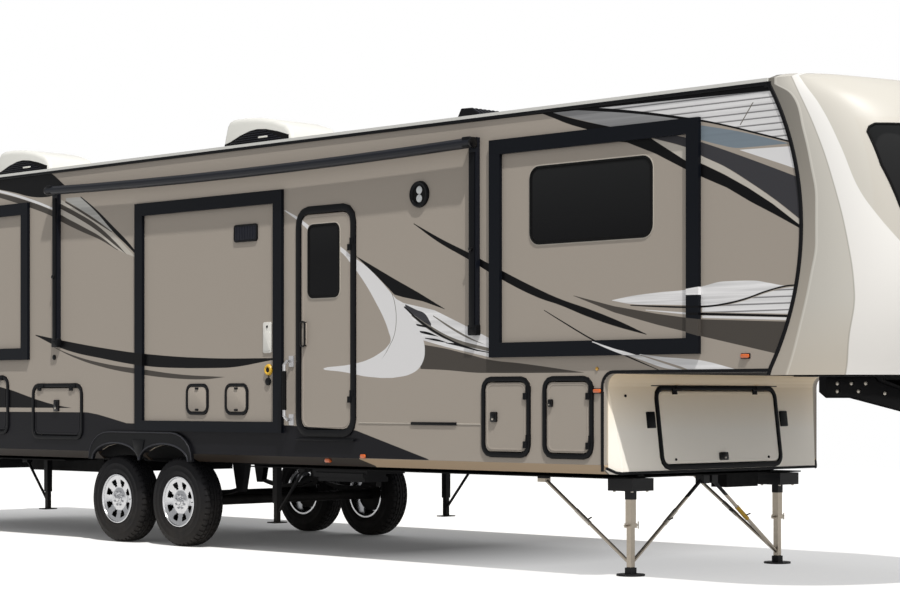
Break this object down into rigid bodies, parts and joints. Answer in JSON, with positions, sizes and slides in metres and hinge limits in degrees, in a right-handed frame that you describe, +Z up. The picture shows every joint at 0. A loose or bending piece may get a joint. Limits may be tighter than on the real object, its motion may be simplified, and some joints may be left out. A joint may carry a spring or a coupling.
{
  "type": "fifth wheel travel trailer with slide-out rooms",
  "caption": "Long two-axle fifth wheel travel trailer with a raised nose, slide-out rooms, hinged doors, roof air conditioners and front landing legs.",
  "frame": {"origin": "on the ground under the middle of the overall bounding box", "axes": "+X towards the nose, +Y towards the left side, +Z up; the entry door is on the -Y side"},
  "size_m": [12.601, 2.7203, 3.8553],
  "materials": {
    "greige_panel": "painted fibreglass-faced panel, satin",
    "cap_gelcoat": "moulded gelcoat, gloss",
    "black_trim": "black powder coat or plastic",
    "black_steel": "black chassis paint",
    "dark_glass": "tinted glass",
    "roof_membrane": "white roof membrane",
    "white_shroud": "moulded white shroud",
    "rubber": "tyre rubber",
    "alloy": "machined alloy",
    "zinc_steel": "zinc-plated steel",
    "underbelly_sheet": "black sheet"
  },
  "bodies": {
    "trailer": {"air_conditioner_front": "white_shroud", "air_conditioner_rear": "white_shroud", "awning": "black_trim", "axle_front": "black_steel", "axle_rear": "black_steel", "cap_window": "dark_glass", "chassis_frame": "black_steel", "entry_step": "black_steel", "fender_left": "black_trim", "fender_right": "black_trim", "floor": "underbelly_sheet", "front_cap": "cap_gelcoat", "grab_handle": "zinc_steel", "hold_floor": "underbelly_sheet", "ladder": "alloy", "landing_leg_left": "zinc_steel", "landing_leg_right": "zinc_steel", "nose_deck": "underbelly_sheet", "pin_box": "black_steel", "rear_window": "dark_glass", "roof": "roof_membrane", "roof_vent": "black_trim", "stabilizer_left_front": "black_steel", "stabilizer_left_rear": "black_steel", "stabilizer_right_front": "black_steel", "stabilizer_right_rear": "black_steel", "suspension_left": "black_steel", "suspension_right": "black_steel", "underbelly": "underbelly_sheet", "wall_front": "greige_panel", "wall_left": "greige_panel", "wall_rear": "greige_panel", "wall_right": "greige_panel"},
    "wheel_right_front": {"tyre_right_front": "rubber", "rim_right_front": "alloy"},
    "wheel_right_rear": {"tyre_right_rear": "rubber", "rim_right_rear": "alloy"},
    "wheel_left_front": {"tyre_left_front": "rubber", "rim_left_front": "alloy"},
    "wheel_left_rear": {"tyre_left_rear": "rubber", "rim_left_rear": "alloy"},
    "rear_room": {"slide_rear": "greige_panel", "slide_frame_rear": "black_trim"},
    "living_room": {"slide_living": "greige_panel", "slide_frame_living": "black_trim"},
    "bedroom_room": {"slide_bedroom": "greige_panel", "slide_frame_bedroom": "black_trim", "bedroom_window": "dark_glass"},
    "dining_room": {"slide_dining": "greige_panel", "slide_frame_dining": "black_trim", "dining_window": "dark_glass"},
    "entry_door_leaf": {"entry_door": "greige_panel", "entry_window": "dark_glass"},
    "hold_door_right_leaf": {"hold_door_right": "greige_panel"},
    "utility_door_right_leaf": {"utility_door_right": "greige_panel"},
    "hatch_right_leaf": {"hatch_right": "greige_panel"},
    "hatch_right_rear_leaf": {"hatch_right_rear": "greige_panel"},
    "hold_door_left_leaf": {"hold_door_left": "greige_panel"},
    "hold_door_front_leaf": {"hold_door_front": "greige_panel"}
  },
  "joints": [
    {"name": "wheel_right_front_spin", "type": "hinge", "parent": "trailer", "child": "wheel_right_front", "pos_m": [-1.327, -1.11, 0.391], "axis": [0, 1, 0], "continuous": true},
    {"name": "wheel_right_rear_spin", "type": "hinge", "parent": "trailer", "child": "wheel_right_rear", "pos_m": [-2.223, -1.11, 0.391], "axis": [0, 1, 0], "continuous": true},
    {"name": "wheel_left_front_spin", "type": "hinge", "parent": "trailer", "child": "wheel_left_front", "pos_m": [-1.327, 1.11, 0.391], "axis": [0, 1, 0], "continuous": true},
    {"name": "wheel_left_rear_spin", "type": "hinge", "parent": "trailer", "child": "wheel_left_rear", "pos_m": [-2.223, 1.11, 0.391], "axis": [0, 1, 0], "continuous": true},
    {"name": "rear_slide_out", "type": "slide", "parent": "trailer", "child": "rear_room", "axis": [0, -1, 0], "range_m": [0, 0.6]},
    {"name": "living_slide_out", "type": "slide", "parent": "trailer", "child": "living_room", "axis": [0, -1, 0], "range_m": [0, 0.88]},
    {"name": "bedroom_slide_out", "type": "slide", "parent": "trailer", "child": "bedroom_room", "axis": [0, -1, 0], "range_m": [0, 0.65]},
    {"name": "dining_slide_out", "type": "slide", "parent": "trailer", "child": "dining_room", "axis": [0, 1, 0], "range_m": [0, 0.88]},
    {"name": "entry_door_hinge", "type": "hinge", "parent": "trailer", "child": "entry_door_leaf", "pos_m": [0.997, -1.2985, 1.92], "axis": [0, 0, 1], "range_deg": [0, 170]},
    {"name": "hold_door_right_hinge", "type": "hinge", "parent": "trailer", "child": "hold_door_right_leaf", "pos_m": [2.923, -1.2985, 1.156], "axis": [0, 0, 1], "range_deg": [0, 110]},
    {"name": "utility_door_right_hinge", "type": "hinge", "parent": "trailer", "child": "utility_door_right_leaf", "pos_m": [3.541, -1.2985, 1.156], "axis": [0, 0, 1], "range_deg": [0, 110]},
    {"name": "hatch_right_hinge", "type": "hinge", "parent": "trailer", "child": "hatch_right_leaf", "pos_m": [-3.046, -1.2985, 1.402], "axis": [-1, 0, 0], "range_deg": [0, 90]},
    {"name": "hatch_right_rear_hinge", "type": "hinge", "parent": "trailer", "child": "hatch_right_rear_leaf", "pos_m": [-4.24, -1.2985, 1.482], "axis": [-1, 0, 0], "range_deg": [0, 90]},
    {"name": "hold_door_left_hinge", "type": "hinge", "parent": "trailer", "child": "hold_door_left_leaf", "pos_m": [2.941, 1.2985, 1.424], "axis": [1, 0, 0], "range_deg": [0, 90]},
    {"name": "hold_door_front_hinge", "type": "hinge", "parent": "trailer", "child": "hold_door_front_leaf", "pos_m": [3.6838, 0, 1.3592], "axis": [0, -1, 0], "range_deg": [0, 85]}
  ]
}
